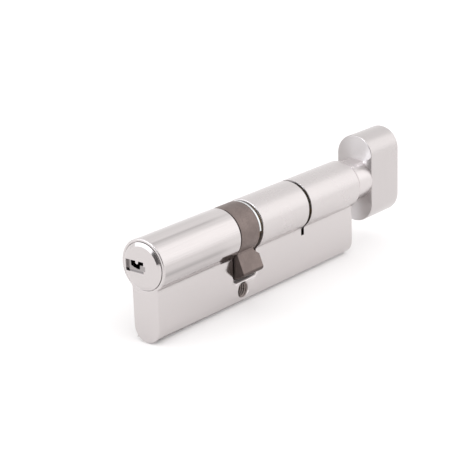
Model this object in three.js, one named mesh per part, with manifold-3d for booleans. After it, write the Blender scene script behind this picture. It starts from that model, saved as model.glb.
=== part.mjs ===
// Euro-profile lock cylinder with a keyed side and a thumbturn side, as an assembly of loose pieces.
// Millimetres, +Z up. The origin is the centre of the M5 fixing-screw hole in the web.
// +X runs from the key end to the thumbturn, and the plug axis lies AXIS_Z above the origin.
import * as THREE from "three";
import { mergeVertices } from "three/addons/utils/BufferGeometryUtils.js";
import Module from "manifold-3d";

const wasm = await Module();
wasm.setup();

// ---- driving dimensions ----
const BARREL_R = 8.5;
const WEB_WIDTH = 10;
const PROFILE_HEIGHT = 33;
const AXIS_Z = 18.9; // plug axis above the fixing-screw hole
const KEY_END = -40; // end faces, measured from the fixing-screw hole
const TURN_END = 60;
const EDGE_CHAMFER = 0.3;
const WEB_BOTTOM = BARREL_R - PROFILE_HEIGHT; // below the plug axis

const GAP_LOW_X = -4.3; // cam gap between the two halves of the barrel
const GAP_HIGH_X = 6.95;
const GAP_FLOOR = -15.45; // below the plug axis
const SLIT_LOW_X = 30.8; // saw cut that takes the rotor's retaining clip
const SLIT_HIGH_X = 32.35;
const SLIT_FLOOR = -9.45;

const FIXING_HOLE_R = 2.1;
const FIXING_RIM_R = 2.85;
const FIXING_RIM_DEPTH = 0.5;

const BORE_R = 6.55;
const PLUG_R = 6.5;
const HEAD_R = 7.5; // disc on the front of the key plug
const HEAD_BORE_R = 7.62;
const HEAD_FRONT_X = KEY_END - 0.65;
const HEAD_BACK_X = KEY_END + 0.6;
const HEAD_SEAT_X = KEY_END + 0.8;
const HEAD_BEVEL = 1.15; // across the face, and HEAD_BEVEL_DEPTH along the axis
const HEAD_BEVEL_DEPTH = 0.5;
const BOSS_R = 5.6; // reduced ends that carry the cam
const GROOVE_R = 5.0;
const PLUG_BACK_X = -4.7;
const PLUG_BOSS_END = -1.8;

const KEYWAY = { lowY: -0.6, highY: 5.4, lowZ: -2.2, highZ: 1.4, endX: -8.2 };
const KEYWAY_MOUTH = { y: [-0.75, 6.4], z: [-2.15, 1.5], depth: 0.9 }; // shallow recess round the keyway
// The narrow S-shaped channel behind the recess, as (y, z) points.
const KEYWAY_THROAT = [
  [5.05, 1.5],
  [5.05, -0.5],
  [3.9, -1.05],
  [2.3, -1.4],
  [1.55, -1.35],
  [1.35, -0.05],
  [-0.7, 0],
  [-0.7, 1.5],
];
const KEYWAY_THROAT_DEPTH = 3.4;
const WARD = { y: 1.85, r: 0.55, z: 1.1, topZ: 4 }; // rounded rib that hangs from the top of the keyway
const KEYWAY_RIB = { lowY: -1.4, lowZ: -1.3, highZ: 0.2 };

const PIN_COUNT = 6;
const PIN_FIRST_X = -34;
const PIN_PITCH = 4.4;
const PIN_Y = 1.6;
const PIN_R = 1.45;
const CHAMBER_R = 1.55;
const PIN_TIP_R = 1.0;
const PIN_TIP_HOLE_R = 1.1;
const KEY_PIN_FOOT = -5.75; // below the plug axis, just inside the plug's surface
const KEY_PIN_SHOULDER = -4.3;
const PIN_HOLE_SHOULDER = -3.0;
const KEY_PIN_TIPS = [-1.0, -1.5, -1.2, -1.7, -1.1, -1.4];
const DRIVER_TOP = -6.65;
const DRIVER_LENGTH = 6.4;
const CHAMBER_SPRING_TOP = -13.25;
const CHAMBER_SPRING_BOTTOM = -20.5;
const CHAMBER_PLUG_TOP = -20.75;
const CHAMBER_PLUG_BOTTOM = -24.0;
const PIN_SPRING = { outerR: 1.35, turns: 5, wire: 0.4 };

const DRILL_SIDES = [1, -1];
const DRILL_PIN_R = 1.0;
const DRILL_HOLE_R = 1.06;
const BODY_DRILL_X = -37.4;
const BODY_DRILL_Y = 2.5;
const BODY_DRILL_TOP = -9.0;
const BODY_DRILL_BOTTOM = -23.0;
const PLUG_DRILL_X = -36.9;
const PLUG_DRILL_Y = 3.2;
const PLUG_DRILL_FOOTS = [2.4, -4.6];
const PLUG_DRILL_TOP = 4.8;

const CAM_LOW_X = -3.9;
const CAM_HIGH_X = 4.95;
const CAM_R = 8.35;
const CAM_BORE_R = 5.75;
const CAM_WALL_LOW_X = -1.5; // the wall across the bore that holds the coupling slot
const CAM_WALL_HIGH_X = 2.2;
const CAM_CLIP_RECESS_R = 7.8;
const CAM_CLIP_RECESS_X = -3.1;
const TOOTH_ANGLE = THREE.MathUtils.degToRad(-112); // from +Y, turning towards +Z
const TOOTH_TIP_R = 15.3;
const TOOTH_HALF_THICKNESS = 3.6;
const TOOTH_LOW_X = -4.05;
const TOOTH_HIGH_X = 6.0;
const TOOTH_ROOT_X = 4.1; // the tooth is narrower at its root on the thumbturn side
const TOOTH_ROOT_R = 9.0;
const TOOTH_SHOULDER_R = 10.6;
const TOOTH_CORNER = 0.8;

const TONGUE_HALF_Y = 4.5; // flat tongues that join the plug or the rotor to the cam
const TONGUE_HALF_Z = 1.3;
const TONGUE_CLEARANCE = 0.1;
const KEY_TONGUE_X = [-7.9, -1.95];
const KEY_TONGUE_NOSE = { lowX: -10.3, lowY: 0.1, highY: 4.1, highZ: 0.1 };
const TURN_TONGUE_X = [-1.55, 5.0];
const TURN_STEM_R = 1.2;
const TURN_STEM_END = 8.6;
const PLUG_SLOT_X = -8.3;
const ROTOR_SLOT_X = 9.3;
const ROTOR_SPRING_HOLE_R = 2.3;
const ROTOR_SPRING_HOLE_END = 17.0;
const COUPLING_SPRING_X = [5.35, 16.7];
const COUPLING_SPRING = { outerR: 2.0, turns: 7, wire: 0.5 };

const ROTOR_FRONT_X = 2.5;
const ROTOR_SHOULDER_X = 7.2;
const SLIT_GROOVE_R = 5.6;
const SPINDLE_HALF = 3.5;
const SPINDLE_END = 80;
const SPINDLE_HOLE_HALF = 3.6;

const PLUG_CLIP = { lowX: -4.2, highX: -3.45, innerR: 5.1, outerR: 7.6, openDeg: 60 };
const GAP_CLIP = { lowX: 5.15, highX: 5.95, innerR: 5.1, outerR: 8.2, openDeg: 176 };
const SLIT_CLIP = { lowX: 30.95, highX: 31.75, innerR: 5.7, outerR: 7.85, openDeg: 174 };

const NECK_R = 7.2;
const NECK_LOW_X = TURN_END + 0.3;
const KNOB_LOW_X = 69.0;
const KNOB_HIGH_X = 85.35;
const KNOB_HALF_WIDTH = 7.25;
const KNOB_HALF_HEIGHT = 15.45;
const KNOB_CHAMFER = 0.4;
const GRUB_X = 64.7;
const GRUB_R = 1.5;
const GRUB_HOLE_R = 1.6;
const GRUB_TOP = -3.65;
const GRUB_BOTTOM = -6.7;
const GRUB_SOCKET_R = 0.85;
const GRUB_SOCKET_DEPTH = 1.3;

const FINE = 40; // facets round the barrel, plug, rotor and cam
const MEDIUM = 24;
const SMALL = 12;
const WARD_SEGMENTS = 6;
const PAST = 1; // how far a cutting tool runs past the face it opens
const KEYWAY_OVERLAP = 0.1;

// ---- solids: three.js geometry in, manifold solids out ----
function solid(geometry) {
  const bare = geometry.clone();
  bare.deleteAttribute("normal");
  bare.deleteAttribute("uv");
  const merged = mergeVertices(bare, 1e-4);
  return new wasm.Manifold(
    new wasm.Mesh({
      numProp: 3,
      vertProperties: merged.attributes.position.array,
      triVerts: new Uint32Array(merged.index.array),
    }),
  );
}

function cut(body, ...tools) {
  return tools.reduce((left, tool) => left.subtract(tool), body);
}

function join(...bodies) {
  return bodies.reduce((whole, body) => whole.add(body));
}

function block(x, y, z) {
  const box = new THREE.BoxGeometry(x[1] - x[0], y[1] - y[0], z[1] - z[0]);
  return solid(box.translate((x[0] + x[1]) / 2, (y[0] + y[1]) / 2, (z[0] + z[1]) / 2));
}

function barAlongX(radius, x, facets = FINE) {
  const bar = new THREE.CylinderGeometry(radius, radius, x[1] - x[0], facets);
  return solid(bar.rotateZ(-Math.PI / 2).translate((x[0] + x[1]) / 2, 0, 0));
}

function barAlongZ(radius, z, at = [0, 0], facets = SMALL) {
  const bar = new THREE.CylinderGeometry(radius, radius, z[1] - z[0], facets);
  return solid(bar.rotateX(Math.PI / 2).translate(at[0], at[1], (z[0] + z[1]) / 2));
}

// A solid turned about the X axis from [x, radius] points, running from low x to high x.
function turnedAboutX(profile, facets = FINE) {
  const points = profile.map(([x, radius]) => new THREE.Vector2(radius, x));
  return solid(new THREE.LatheGeometry(points, facets).rotateZ(-Math.PI / 2));
}

// A solid turned about the Z axis from [radius, z] points, running upwards.
function turnedAboutZ(profile, facets = SMALL) {
  const points = profile.map(([radius, z]) => new THREE.Vector2(radius, z));
  return solid(new THREE.LatheGeometry(points, facets).rotateX(Math.PI / 2));
}

// A solid turned about the Y axis at height z, from [radius, y] points.
function turnedAboutY(profile, z, facets = MEDIUM) {
  const points = profile.map(([radius, y]) => new THREE.Vector2(radius, y));
  return solid(new THREE.LatheGeometry(points, facets).translate(0, 0, z));
}

// A shape drawn in the (Y, Z) plane and extruded along +X, with chamfered ends if asked.
function prismAlongX(shape, x, { chamfer = 0, curveSegments = SMALL } = {}) {
  const geometry = new THREE.ExtrudeGeometry(shape, {
    depth: x[1] - x[0] - 2 * chamfer,
    steps: 1,
    curveSegments,
    bevelEnabled: chamfer > 0,
    bevelThickness: chamfer,
    bevelSize: chamfer,
    bevelOffset: -chamfer,
    bevelSegments: 1,
  });
  const toX = new THREE.Matrix4().makeBasis(
    new THREE.Vector3(0, 1, 0),
    new THREE.Vector3(0, 0, 1),
    new THREE.Vector3(1, 0, 0),
  );
  return solid(geometry.applyMatrix4(toX).translate(x[0] + chamfer, 0, 0));
}

// ---- materials ----
function metal(color, roughness) {
  return new THREE.MeshStandardMaterial({ color, roughness, metalness: 1 });
}
const polishedNickel = metal(0xd9d4d2, 0.18);
const satinNickel = metal(0xd2cdcb, 0.35);
const phosphatedSteel = metal(0x73695f, 0.6);
const springSteel = metal(0xc9ccd0, 0.25);
const hardenedSteel = metal(0x8d9094, 0.3);
const brass = metal(0xc8a860, 0.3);

function mesh(name, body, material) {
  const shape = body.getMesh();
  const geometry = new THREE.BufferGeometry();
  geometry.setAttribute("position", new THREE.BufferAttribute(shape.vertProperties, 3));
  geometry.setIndex(new THREE.BufferAttribute(shape.triVerts, 1));
  const piece = new THREE.Mesh(geometry.toNonIndexed(), material);
  piece.geometry.computeVertexNormals();
  piece.name = name;
  return piece;
}

// ---- housing ----
// The euro profile: a round barrel on a web with a rounded foot.
function profileShape() {
  const half = WEB_WIDTH / 2;
  const junction = -Math.acos(half / BARREL_R); // where the web leaves the barrel
  const shape = new THREE.Shape();
  shape.absarc(0, 0, BARREL_R, junction, Math.PI - junction, false);
  shape.absarc(0, WEB_BOTTOM + half, half, Math.PI, 2 * Math.PI, false);
  shape.closePath();
  return shape;
}

function fixingHole() {
  const half = WEB_WIDTH / 2;
  return turnedAboutY(
    [
      [0, -half - PAST],
      [FIXING_RIM_R, -half - PAST],
      [FIXING_RIM_R, -half],
      [FIXING_HOLE_R, -half + FIXING_RIM_DEPTH],
      [FIXING_HOLE_R, half - FIXING_RIM_DEPTH],
      [FIXING_RIM_R, half],
      [FIXING_RIM_R, half + PAST],
      [0, half + PAST],
    ],
    -AXIS_Z,
  );
}

function pinX(index) {
  return PIN_FIRST_X + PIN_PITCH * index;
}

function housing() {
  const body = prismAlongX(profileShape(), [KEY_END, TURN_END], { chamfer: EDGE_CHAMFER });
  const wide = [-BARREL_R - PAST, BARREL_R + PAST];
  const bottom = WEB_BOTTOM - PAST;
  const holes = [
    barAlongX(BORE_R, [KEY_END - PAST, TURN_END + PAST]),
    barAlongX(HEAD_BORE_R, [KEY_END - PAST, HEAD_SEAT_X]),
    block([GAP_LOW_X, GAP_HIGH_X], wide, [GAP_FLOOR, BARREL_R + PAST]),
    block([SLIT_LOW_X, SLIT_HIGH_X], wide, [SLIT_FLOOR, BARREL_R + PAST]),
    fixingHole(),
  ];
  for (let i = 0; i < PIN_COUNT; i++) {
    holes.push(barAlongZ(CHAMBER_R, [bottom, -BORE_R + PAST], [pinX(i), PIN_Y]));
  }
  for (const side of DRILL_SIDES) {
    const at = [BODY_DRILL_X, side * BODY_DRILL_Y];
    holes.push(barAlongZ(DRILL_HOLE_R, [bottom, BODY_DRILL_TOP + 0.1], at));
  }
  return cut(body, ...holes);
}

// ---- key side ----
function outlineShape(points) {
  return new THREE.Shape(points.map(([y, z]) => new THREE.Vector2(y, z)));
}

// The rib that hangs into the keyway from above, along its whole length.
function wardRib() {
  const shape = new THREE.Shape();
  shape.absarc(WARD.y, WARD.z, WARD.r, 0, -Math.PI, true);
  shape.lineTo(WARD.y - WARD.r, WARD.topZ);
  shape.lineTo(WARD.y + WARD.r, WARD.topZ);
  shape.closePath();
  return prismAlongX(shape, [HEAD_FRONT_X - 2 * PAST, KEYWAY.endX + PAST], {
    curveSegments: WARD_SEGMENTS,
  });
}

// The space for a flat dimple key: a recess, a narrow throat, the long slot and a groove at one side.
function keywaySpace() {
  const front = HEAD_FRONT_X - PAST;
  const throatEnd = HEAD_FRONT_X + KEYWAY_THROAT_DEPTH;
  const mouth = block([front, HEAD_FRONT_X + KEYWAY_MOUTH.depth], KEYWAY_MOUTH.y, KEYWAY_MOUTH.z);
  const throat = prismAlongX(outlineShape(KEYWAY_THROAT), [front, throatEnd + KEYWAY_OVERLAP]);
  const slotY = [KEYWAY.lowY, KEYWAY.highY];
  const slot = block([throatEnd, KEYWAY.endX], slotY, [KEYWAY.lowZ, KEYWAY.highZ]);
  const grooveY = [KEYWAY_RIB.lowY, KEYWAY.lowY + KEYWAY_OVERLAP];
  const groove = block([front, KEYWAY.endX], grooveY, [KEYWAY_RIB.lowZ, KEYWAY_RIB.highZ]);
  return cut(join(mouth, throat, slot, groove), wardRib());
}

function tongueSlot(x) {
  const y = TONGUE_HALF_Y + TONGUE_CLEARANCE;
  const z = TONGUE_HALF_Z + TONGUE_CLEARANCE;
  return block(x, [-y, y], [-z, z]);
}

function keyPlug() {
  const body = turnedAboutX([
    [HEAD_FRONT_X, 0],
    [HEAD_FRONT_X, HEAD_R - HEAD_BEVEL],
    [HEAD_FRONT_X + HEAD_BEVEL_DEPTH, HEAD_R],
    [HEAD_BACK_X, HEAD_R],
    [HEAD_BACK_X, PLUG_R],
    [PLUG_BACK_X, PLUG_R],
    [PLUG_BACK_X, BOSS_R],
    [PLUG_CLIP.lowX - 0.05, BOSS_R],
    [PLUG_CLIP.lowX - 0.05, GROOVE_R],
    [PLUG_CLIP.highX + 0.05, GROOVE_R],
    [PLUG_CLIP.highX + 0.05, BOSS_R],
    [PLUG_BOSS_END, BOSS_R],
    [PLUG_BOSS_END, 0],
  ]);
  const holes = [keywaySpace(), tongueSlot([PLUG_SLOT_X, PLUG_BOSS_END + PAST])];
  PLUG_DRILL_FOOTS.forEach((foot, i) => {
    const at = [PLUG_DRILL_X, DRILL_SIDES[i] * PLUG_DRILL_Y];
    holes.push(barAlongZ(DRILL_HOLE_R, [foot - 0.1, PLUG_R + PAST], at));
  });
  for (let i = 0; i < PIN_COUNT; i++) {
    const at = [pinX(i), PIN_Y];
    holes.push(barAlongZ(PIN_R + 0.05, [-PLUG_R - PAST, PIN_HOLE_SHOULDER], at));
    holes.push(barAlongZ(PIN_TIP_HOLE_R, [-PLUG_R, KEYWAY.lowZ + 0.1], at));
  }
  return cut(body, ...holes);
}

// Each of these stands on its lower end at z = 0.
function keyPin(index) {
  const shoulder = KEY_PIN_SHOULDER - KEY_PIN_FOOT;
  const top = KEY_PIN_TIPS[index] - KEY_PIN_FOOT;
  return turnedAboutZ([
    [0, 0],
    [PIN_R - 0.25, 0],
    [PIN_R, 0.25],
    [PIN_R, shoulder - 0.3],
    [PIN_TIP_R, shoulder],
    [PIN_TIP_R, top - 0.7],
    [0.35, top],
    [0, top],
  ]);
}

function driverPin() {
  return turnedAboutZ([
    [0, 0],
    [PIN_R - 0.3, 0],
    [PIN_R, 0.3],
    [PIN_R, DRIVER_LENGTH - 0.2],
    [PIN_R - 0.2, DRIVER_LENGTH],
    [0, DRIVER_LENGTH],
  ]);
}

function chamberPlug() {
  const height = CHAMBER_PLUG_TOP - CHAMBER_PLUG_BOTTOM;
  return turnedAboutZ([
    [0, 0],
    [PIN_R - 0.2, 0],
    [PIN_R + 0.04, 0.2],
    [PIN_R + 0.04, height - 0.2],
    [PIN_R - 0.2, height],
    [0, height],
  ]);
}

function drillPin(height) {
  return turnedAboutZ([
    [0, 0],
    [DRILL_PIN_R - 0.2, 0],
    [DRILL_PIN_R, 0.2],
    [DRILL_PIN_R, height],
    [0, height],
  ]);
}

// ---- springs ----
// A helix about Z from z = 0 upwards, whose coils lie closer together at both ends.
class SpringCurve extends THREE.Curve {
  constructor(radius, length, turns) {
    super();
    Object.assign(this, { radius, length, turns });
  }

  getPoint(t, target = new THREE.Vector3()) {
    const turn = 2 * Math.PI * this.turns * t;
    const rise = this.length * (t - (0.5 * Math.sin(2 * Math.PI * t)) / (2 * Math.PI));
    return target.set(this.radius * Math.cos(turn), this.radius * Math.sin(turn), rise);
  }
}

function coilSpring({ outerR, turns, wire }, height) {
  const half = wire / 2;
  const section = new THREE.Shape();
  section.moveTo(-half, 0);
  section.lineTo(0, -half);
  section.lineTo(half, 0);
  section.lineTo(0, half);
  section.closePath();
  const path = new SpringCurve(outerR - half, height - wire, turns);
  const geometry = new THREE.ExtrudeGeometry(section, {
    steps: 8 * turns,
    extrudePath: path,
    bevelEnabled: false,
  });
  return solid(geometry.translate(0, 0, half));
}

// ---- cam and couplings ----
// The tooth's outline seen along its thickness: x across, radius up.
function toothShape() {
  const tip = TOOTH_TIP_R + PAST;
  const shape = new THREE.Shape();
  shape.moveTo(TOOTH_LOW_X, CAM_BORE_R + PAST);
  shape.lineTo(TOOTH_ROOT_X, CAM_BORE_R + PAST);
  shape.lineTo(TOOTH_ROOT_X, TOOTH_ROOT_R);
  shape.lineTo(TOOTH_HIGH_X, TOOTH_SHOULDER_R);
  shape.lineTo(TOOTH_HIGH_X, tip);
  shape.lineTo(TOOTH_LOW_X, tip);
  shape.closePath();
  return shape;
}

// A turned blank as wide as the tooth, with rounded corners at the tip, that trims the tooth.
function toothBlank() {
  const inner = TOOTH_TIP_R - TOOTH_CORNER;
  return turnedAboutX([
    [TOOTH_LOW_X, 0],
    [TOOTH_LOW_X, inner],
    [TOOTH_LOW_X + TOOTH_CORNER * 0.29, inner + TOOTH_CORNER * 0.71],
    [TOOTH_LOW_X + TOOTH_CORNER, TOOTH_TIP_R],
    [TOOTH_HIGH_X - TOOTH_CORNER, TOOTH_TIP_R],
    [TOOTH_HIGH_X - TOOTH_CORNER * 0.29, inner + TOOTH_CORNER * 0.71],
    [TOOTH_HIGH_X, inner],
    [TOOTH_HIGH_X, 0],
  ]);
}

function camTooth() {
  const geometry = new THREE.ExtrudeGeometry(toothShape(), {
    depth: 2 * TOOTH_HALF_THICKNESS,
    bevelEnabled: false,
  });
  // shape (x, radius) stays in (X, Y); the thickness is centred and points along Z
  geometry.translate(0, 0, -TOOTH_HALF_THICKNESS).rotateX(TOOTH_ANGLE);
  return solid(geometry).intersect(toothBlank());
}

function cam() {
  const body = join(barAlongX(CAM_R, [CAM_LOW_X, CAM_HIGH_X]), camTooth());
  return cut(
    body,
    barAlongX(CAM_CLIP_RECESS_R, [TOOTH_LOW_X - PAST, CAM_CLIP_RECESS_X]),
    barAlongX(CAM_BORE_R, [CAM_CLIP_RECESS_X - PAST, CAM_WALL_LOW_X]),
    barAlongX(CAM_BORE_R, [CAM_WALL_HIGH_X, TOOTH_HIGH_X + PAST]),
    tongueSlot([CAM_WALL_LOW_X - PAST, CAM_WALL_HIGH_X + PAST]),
  );
}

function tongue(x) {
  return block(x, [-TONGUE_HALF_Y, TONGUE_HALF_Y], [-TONGUE_HALF_Z, TONGUE_HALF_Z]);
}

// The key's tip pushes on the nose, which reaches into the keyway.
function keyCoupling() {
  const { lowX, lowY, highY, highZ } = KEY_TONGUE_NOSE;
  const nose = block([lowX, KEY_TONGUE_X[0] + PAST], [lowY, highY], [-TONGUE_HALF_Z, highZ]);
  return join(tongue(KEY_TONGUE_X), nose);
}

function turnCoupling() {
  const stem = barAlongX(TURN_STEM_R, [TURN_TONGUE_X[1] - 0.5, TURN_STEM_END], SMALL);
  return join(tongue(TURN_TONGUE_X), stem);
}

// A flat C-shaped clip about the X axis, open towards -Z.
function retainingClip({ lowX, highX, innerR, outerR, openDeg }) {
  const low = THREE.MathUtils.degToRad(-90 + openDeg / 2);
  const high = THREE.MathUtils.degToRad(270 - openDeg / 2);
  const shape = new THREE.Shape();
  shape.absarc(0, 0, outerR, low, high, false);
  shape.absarc(0, 0, innerR, high, low, true);
  shape.closePath();
  return prismAlongX(shape, [lowX, highX]);
}

// ---- thumbturn side ----
function rotor() {
  const body = turnedAboutX([
    [ROTOR_FRONT_X, 0],
    [ROTOR_FRONT_X, BOSS_R],
    [GAP_CLIP.lowX - 0.1, BOSS_R],
    [GAP_CLIP.lowX - 0.1, GROOVE_R],
    [GAP_CLIP.highX + 0.1, GROOVE_R],
    [GAP_CLIP.highX + 0.1, BOSS_R],
    [ROTOR_SHOULDER_X, BOSS_R],
    [ROTOR_SHOULDER_X, PLUG_R],
    [SLIT_CLIP.lowX - 0.2, PLUG_R],
    [SLIT_CLIP.lowX - 0.2, SLIT_GROOVE_R],
    [SLIT_CLIP.highX + 0.2, SLIT_GROOVE_R],
    [SLIT_CLIP.highX + 0.2, PLUG_R],
    [TURN_END, PLUG_R],
    [TURN_END, 0],
  ]);
  const side = [-SPINDLE_HALF, SPINDLE_HALF];
  const spindle = block([TURN_END - PAST, SPINDLE_END], side, side);
  return cut(
    join(body, spindle),
    tongueSlot([ROTOR_FRONT_X - PAST, ROTOR_SLOT_X]),
    barAlongX(ROTOR_SPRING_HOLE_R, [ROTOR_FRONT_X - PAST, ROTOR_SPRING_HOLE_END], MEDIUM),
  );
}

function knobShape() {
  const straight = KNOB_HALF_HEIGHT - KNOB_HALF_WIDTH;
  const shape = new THREE.Shape();
  shape.absarc(0, straight, KNOB_HALF_WIDTH, 0, Math.PI, false);
  shape.absarc(0, -straight, KNOB_HALF_WIDTH, Math.PI, 2 * Math.PI, false);
  shape.closePath();
  return shape;
}

function knob() {
  const grip = prismAlongX(knobShape(), [KNOB_LOW_X, KNOB_HIGH_X], { chamfer: KNOB_CHAMFER });
  const neck = barAlongX(NECK_R, [NECK_LOW_X, KNOB_LOW_X + PAST]);
  const side = [-SPINDLE_HOLE_HALF, SPINDLE_HOLE_HALF];
  return cut(
    join(grip, neck),
    block([NECK_LOW_X - PAST, SPINDLE_END + 0.2], side, side),
    barAlongZ(GRUB_HOLE_R, [-NECK_R - PAST, -SPINDLE_HOLE_HALF + 0.5], [GRUB_X, 0]),
  );
}

function grubScrew() {
  const screw = barAlongZ(GRUB_R, [GRUB_BOTTOM, GRUB_TOP]);
  const socket = barAlongZ(
    GRUB_SOCKET_R,
    [GRUB_BOTTOM - PAST, GRUB_BOTTOM + GRUB_SOCKET_DEPTH],
    [0, 0],
    6,
  );
  return cut(screw, socket);
}

// ---- assembly ----
const cylinder = new THREE.Group();
const plugAxis = new THREE.Group(); // everything is placed from the plug axis
plugAxis.position.z = AXIS_Z;
cylinder.add(plugAxis);

function place(piece, x = 0, y = 0, z = 0) {
  piece.position.set(x, y, z);
  plugAxis.add(piece);
  return piece;
}

place(mesh("housing", housing(), polishedNickel));
place(mesh("key_plug", keyPlug(), polishedNickel));

for (let i = 0; i < PIN_COUNT; i++) {
  const x = pinX(i);
  const n = i + 1;
  place(mesh(`key_pin_${n}`, keyPin(i), brass), x, PIN_Y, KEY_PIN_FOOT);
  place(mesh(`driver_pin_${n}`, driverPin(), hardenedSteel), x, PIN_Y, DRIVER_TOP - DRIVER_LENGTH);
  const height = CHAMBER_SPRING_TOP - CHAMBER_SPRING_BOTTOM;
  const spring = coilSpring(PIN_SPRING, height);
  place(mesh(`pin_spring_${n}`, spring, springSteel), x, PIN_Y, CHAMBER_SPRING_BOTTOM);
  place(mesh(`chamber_plug_${n}`, chamberPlug(), brass), x, PIN_Y, CHAMBER_PLUG_BOTTOM);
}

DRILL_SIDES.forEach((side, i) => {
  const bodyPin = drillPin(BODY_DRILL_TOP - BODY_DRILL_BOTTOM);
  const bodyY = side * BODY_DRILL_Y;
  place(mesh(`body_drill_pin_${i + 1}`, bodyPin, hardenedSteel), BODY_DRILL_X, bodyY, BODY_DRILL_BOTTOM);
  const foot = PLUG_DRILL_FOOTS[i];
  const plugPin = drillPin(PLUG_DRILL_TOP - foot);
  place(mesh(`plug_drill_pin_${i + 1}`, plugPin, hardenedSteel), PLUG_DRILL_X, side * PLUG_DRILL_Y, foot);
});

place(mesh("cam", cam(), phosphatedSteel));
place(mesh("key_coupling", keyCoupling(), hardenedSteel));
place(mesh("turn_coupling", turnCoupling(), hardenedSteel));
const couplingSpring = coilSpring(COUPLING_SPRING, COUPLING_SPRING_X[1] - COUPLING_SPRING_X[0]);
place(mesh("coupling_spring", couplingSpring, springSteel), COUPLING_SPRING_X[0]).rotation.y = Math.PI / 2;

place(mesh("plug_clip", retainingClip(PLUG_CLIP), springSteel));
place(mesh("gap_clip", retainingClip(GAP_CLIP), springSteel));
place(mesh("slit_clip", retainingClip(SLIT_CLIP), springSteel));

place(mesh("turn_rotor", rotor(), brass));
place(mesh("knob", knob(), satinNickel));
place(mesh("knob_grub_screw", grubScrew(), hardenedSteel), GRUB_X);

export default cylinder;
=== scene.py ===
"""Looks for a euro-profile lock cylinder with a thumbturn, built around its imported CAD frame.

Shapes are made in millimetres in the plug's frame: X along the plug axis, with x = 0 at the fixing
screw, and z = 0 on the plug axis. place() scales each one to metres and lifts it to the CAD's frame.
"""

import math

import bmesh
import bpy
from mathutils import Matrix, Vector


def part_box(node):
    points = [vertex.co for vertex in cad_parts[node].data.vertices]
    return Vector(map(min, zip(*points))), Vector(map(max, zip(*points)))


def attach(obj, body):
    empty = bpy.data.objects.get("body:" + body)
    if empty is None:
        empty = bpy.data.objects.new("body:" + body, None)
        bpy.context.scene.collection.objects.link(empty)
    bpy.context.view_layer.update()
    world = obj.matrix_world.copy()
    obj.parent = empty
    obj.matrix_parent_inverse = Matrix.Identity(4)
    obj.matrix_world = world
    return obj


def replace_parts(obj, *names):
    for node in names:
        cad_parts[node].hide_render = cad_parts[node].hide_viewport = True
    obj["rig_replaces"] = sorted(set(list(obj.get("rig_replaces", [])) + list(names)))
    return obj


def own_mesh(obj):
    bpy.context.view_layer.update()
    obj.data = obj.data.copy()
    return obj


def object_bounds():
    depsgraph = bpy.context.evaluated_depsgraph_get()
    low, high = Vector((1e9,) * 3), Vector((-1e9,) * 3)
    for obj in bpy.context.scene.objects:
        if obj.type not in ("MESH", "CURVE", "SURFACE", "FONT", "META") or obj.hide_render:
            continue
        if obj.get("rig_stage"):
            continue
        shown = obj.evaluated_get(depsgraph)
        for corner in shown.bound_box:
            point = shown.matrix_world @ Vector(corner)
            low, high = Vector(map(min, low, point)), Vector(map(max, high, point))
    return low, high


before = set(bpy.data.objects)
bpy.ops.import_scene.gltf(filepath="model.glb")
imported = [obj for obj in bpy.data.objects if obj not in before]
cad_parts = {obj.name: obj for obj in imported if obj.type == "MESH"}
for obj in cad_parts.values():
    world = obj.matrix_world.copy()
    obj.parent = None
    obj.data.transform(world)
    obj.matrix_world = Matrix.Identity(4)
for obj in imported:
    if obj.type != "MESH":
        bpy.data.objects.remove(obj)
cad_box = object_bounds()

MM = 0.001
BARREL_R = 8.5
WEB_HALF = 5.0
AXIS_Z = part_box("housing")[1].z / MM - BARREL_R  # plug axis above the fixing screw
KEY_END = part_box("housing")[0].x / MM
TURN_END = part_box("housing")[1].x / MM
FOOT_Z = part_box("housing")[0].z / MM - AXIS_Z  # lowest line of the web
SCREW_Z = -AXIS_Z

GAP_LOW_X, GAP_HIGH_X = -4.3, 6.95
GAP_FLOOR, GAP_CORNER = -15.45, 0.7
SLIT_LOW_X, SLIT_HIGH_X, SLIT_FLOOR = 30.8, 32.35, -9.45
BORE_R = 6.55
HOUSING_EDGE = 1.2  # full rounding, of which each kind of edge takes one of the shares below
END_SHARE, FINE_SHARE = 0.33, 0.09  # outer edges of the end faces, and the bore mouths and the slit
GAP_FLOOR_SHARE, WEB_GAP_SHARE, BARREL_GAP_SHARE = 0.66, 0.75, 0.38
HEAD_BORE_R, HEAD_SEAT_X = 7.62, KEY_END + 0.8

THREAD_MAJOR_R, THREAD_MINOR_R, THREAD_PITCH = 2.5, 2.07, 0.8
SCREW_RIM_R, SCREW_RIM_DEPTH = 2.85, 0.45

PIN_COUNT, PIN_FIRST_X, PIN_PITCH, PIN_Y = 6, -34.0, 4.4, 1.6
CHAMBER_R = 1.55
DRILL_X, DRILL_Y, DRILL_HOLE_R, DRILL_TOP = -37.4, 2.5, 1.06, -8.9

PLUG_R, BOSS_R, GROOVE_R = 6.5, 5.6, 5.0
HEAD_R, HEAD_BEVEL, HEAD_BEVEL_DEPTH = 7.5, 1.15, 0.5
HEAD_FRONT_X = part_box("key_plug")[0].x / MM
HEAD_BACK_X, PLUG_BACK_X, PLUG_BOSS_END, PLUG_SLOT_X = KEY_END + 0.6, -4.7, -1.8, -8.3
KEYWAY_END_X = -8.2
KEYWAY = (-0.6, 5.4, -2.2, 1.4)  # low y, high y, low z, high z
KEYWAY_MOUTH = ((-0.75, 6.4), (-2.15, 1.5))  # y and z ranges of the shallow recess round the keyway
KEYWAY_MOUTH_DEPTH, KEYWAY_THROAT_DEPTH = 0.9, 3.4
KEYWAY_THROAT = (  # (y, z) of the narrow S-shaped channel behind the recess
    (5.05, 1.5),
    (5.05, -0.5),
    (3.9, -1.05),
    (2.3, -1.4),
    (1.55, -1.35),
    (1.35, -0.05),
    (-0.7, 0.0),
    (-0.7, 1.5),
)
KEYWAY_RIB = (-1.4, -1.3, 0.2)  # y, low z, high z
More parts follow.
